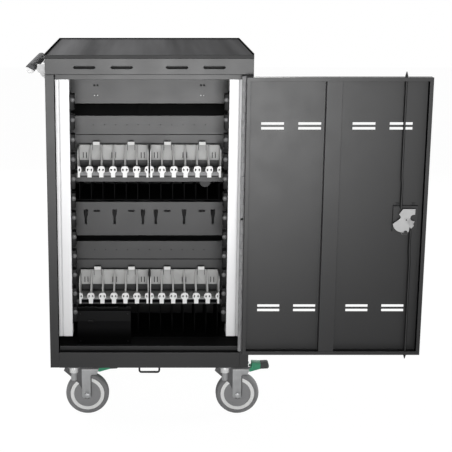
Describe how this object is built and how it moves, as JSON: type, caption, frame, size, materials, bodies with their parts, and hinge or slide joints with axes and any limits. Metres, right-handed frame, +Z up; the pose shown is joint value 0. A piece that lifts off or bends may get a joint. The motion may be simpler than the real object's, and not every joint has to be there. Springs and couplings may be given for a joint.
{
  "type": "laptop charging cart",
  "caption": "Sheet steel charging cabinet on swivel casters with adapter racks and power strips behind one hinged door, laptop shelves behind the other, and a side push handle.",
  "frame": {"origin": "on the floor, under the middle of the part's box with the charger door swung open", "axes": "+X to the right along the open charger door, +Y from the charger side to the laptop side, +Z up"},
  "size_m": [1.0916, 0.559, 1.057],
  "materials": {
    "charcoal_paint": "fine satin powder coat in charcoal grey",
    "dark_paint": "the same powder coat on inner sheet parts",
    "black_steel": "black finished steel",
    "zinc_plate": "bright zinc plate",
    "strip_aluminium": "pale satin extrusion",
    "comb_plastic": "light grey moulding",
    "black_plastic": "fine grained black moulding",
    "wheel_grey": "grey non-marking rubber with a pale ring",
    "pedal_green": "green moulding",
    "handle_grey": "dark grey coated tube"
  },
  "bodies": {
    "cabinet": {"base_pan": "dark_paint", "cable_pass_panel": "charcoal_paint", "charger_frame_hinge_leaf": "zinc_plate", "far_handle_bracket": "zinc_plate", "far_left_caster_plate": "zinc_plate", "far_right_caster_plate": "zinc_plate", "laptop_frame_hinge_leaf": "zinc_plate", "left_power_strip": "strip_aluminium", "left_side_panel": "charcoal_paint", "left_socket_row": "black_plastic", "lower_adapter_tray": "dark_paint", "lower_laptop_rack": "dark_paint", "lower_left_adapter_comb": "comb_plastic", "lower_rack_panel": "charcoal_paint", "lower_right_adapter_comb": "comb_plastic", "mains_inlet": "black_plastic", "near_handle_bracket": "zinc_plate", "near_left_caster_plate": "zinc_plate", "near_right_caster_plate": "zinc_plate", "power_unit": "dark_paint", "push_handle_bar": "handle_grey", "right_power_strip": "strip_aluminium", "right_side_panel": "charcoal_paint", "right_socket_row": "black_plastic", "security_loop": "black_steel", "top_lid": "charcoal_paint", "top_partition_panel": "charcoal_paint", "upper_adapter_tray": "dark_paint", "upper_laptop_rack": "dark_paint", "upper_left_adapter_comb": "comb_plastic", "upper_rack_panel": "charcoal_paint", "upper_right_adapter_comb": "comb_plastic"},
    "charger_door": {"charger_door_pan": "charcoal_paint", "charger_door_stiffener": "charcoal_paint", "charger_door_hinge_leaf": "zinc_plate", "lock_case": "black_steel"},
    "lock_turn": {"lock_cam": "zinc_plate", "lock_handle": "black_plastic"},
    "upper_bolt": {"upper_lock_rod": "black_steel"},
    "lower_bolt": {"lower_lock_rod": "black_steel"},
    "laptop_door": {"laptop_door_pan": "charcoal_paint", "laptop_door_stiffener": "charcoal_paint", "laptop_door_hinge_leaf": "zinc_plate"},
    "laptop_lock": {"laptop_lock_lever": "black_plastic"},
    "rocker": {"power_switch": "black_plastic"},
    "near_left_swivel": {"near_left_caster_fork": "zinc_plate", "near_left_caster_axle": "zinc_plate"},
    "near_left_wheel": {"near_left_caster_wheel": "wheel_grey"},
    "near_left_pedal": {"near_left_brake_pedal": "pedal_green"},
    "near_right_swivel": {"near_right_caster_fork": "zinc_plate", "near_right_caster_axle": "zinc_plate"},
    "near_right_wheel": {"near_right_caster_wheel": "wheel_grey"},
    "near_right_pedal": {"near_right_brake_pedal": "pedal_green"},
    "far_left_swivel": {"far_left_caster_fork": "zinc_plate", "far_left_caster_axle": "zinc_plate"},
    "far_left_wheel": {"far_left_caster_wheel": "wheel_grey"},
    "far_right_swivel": {"far_right_caster_fork": "zinc_plate", "far_right_caster_axle": "zinc_plate"},
    "far_right_wheel": {"far_right_caster_wheel": "wheel_grey"}
  },
  "joints": [
    {"name": "charger_door_hinge", "type": "hinge", "parent": "cabinet", "child": "charger_door", "pos_m": [0.04525, -0.2485, 0.607], "axis": [0, 0, 1], "range_deg": [-180, 0]},
    {"name": "lock_turn", "type": "hinge", "parent": "charger_door", "child": "lock_turn", "pos_m": [0.49145, -0.2675, 0.608], "axis": [0, -1, 0], "range_deg": [0, 60]},
    {"name": "upper_bolt_slide", "type": "slide", "parent": "charger_door", "child": "upper_bolt", "axis": [0, 0, 1], "range_m": [-0.0151, 0]},
    {"name": "lower_bolt_slide", "type": "slide", "parent": "charger_door", "child": "lower_bolt", "axis": [0, 0, 1], "range_m": [0, 0.0151]},
    {"name": "laptop_door_hinge", "type": "hinge", "parent": "cabinet", "child": "laptop_door", "pos_m": [-0.46095, 0.2615, 0.607], "axis": [0, 0, 1], "range_deg": [0, 180]},
    {"name": "laptop_lock_turn", "type": "hinge", "parent": "laptop_door", "child": "laptop_lock", "pos_m": [-0.01475, 0.2365, 0.608], "axis": [0, 1, 0], "range_deg": [0, 90]},
    {"name": "power_switch_rock", "type": "hinge", "parent": "cabinet", "child": "rocker", "pos_m": [-0.38285, -0.0615, 0.2413], "axis": [0, 0, 1], "range_deg": [-8, 8]},
    {"name": "near_left_swivel", "type": "hinge", "parent": "cabinet", "child": "near_left_swivel", "pos_m": [-0.42585, -0.1685, 0.15], "axis": [0, 0, 1], "continuous": true},
    {"name": "near_left_wheel_spin", "type": "hinge", "parent": "near_left_swivel", "child": "near_left_wheel", "pos_m": [-0.38785, -0.1685, 0.0625], "axis": [0, 1, 0], "continuous": true},
    {"name": "near_left_brake_press", "type": "hinge", "parent": "near_left_swivel", "child": "near_left_pedal", "pos_m": [-0.35985, -0.1685, 0.137], "axis": [0, 1, 0], "range_deg": [0, 18]},
    {"name": "near_right_swivel", "type": "hinge", "parent": "cabinet", "child": "near_right_swivel", "pos_m": [0.01015, -0.1685, 0.15], "axis": [0, 0, 1], "continuous": true},
    {"name": "near_right_wheel_spin", "type": "hinge", "parent": "near_right_swivel", "child": "near_right_wheel", "pos_m": [0.04815, -0.1685, 0.0625], "axis": [0, 1, 0], "continuous": true},
    {"name": "near_right_brake_press", "type": "hinge", "parent": "near_right_swivel", "child": "near_right_pedal", "pos_m": [0.07615, -0.1685, 0.137], "axis": [0, 1, 0], "range_deg": [0, 18]},
    {"name": "far_left_swivel", "type": "hinge", "parent": "cabinet", "child": "far_left_swivel", "pos_m": [-0.42585, 0.1815, 0.15], "axis": [0, 0, 1], "continuous": true},
    {"name": "far_left_wheel_spin", "type": "hinge", "parent": "far_left_swivel", "child": "far_left_wheel", "pos_m": [-0.38785, 0.1815, 0.0625], "axis": [0, 1, 0], "continuous": true},
    {"name": "far_right_swivel", "type": "hinge", "parent": "cabinet", "child": "far_right_swivel", "pos_m": [0.01015, 0.1815, 0.15], "axis": [0, 0, 1], "continuous": true},
    {"name": "far_right_wheel_spin", "type": "hinge", "parent": "far_right_swivel", "child": "far_right_wheel", "pos_m": [0.04815, 0.1815, 0.0625], "axis": [0, 1, 0], "continuous": true}
  ],
  "couplings": [
    {"joint": "upper_bolt_slide", "follows": "lock_turn", "m_per_rad": -0.0143},
    {"joint": "lower_bolt_slide", "follows": "lock_turn", "m_per_rad": 0.0143}
  ]
}
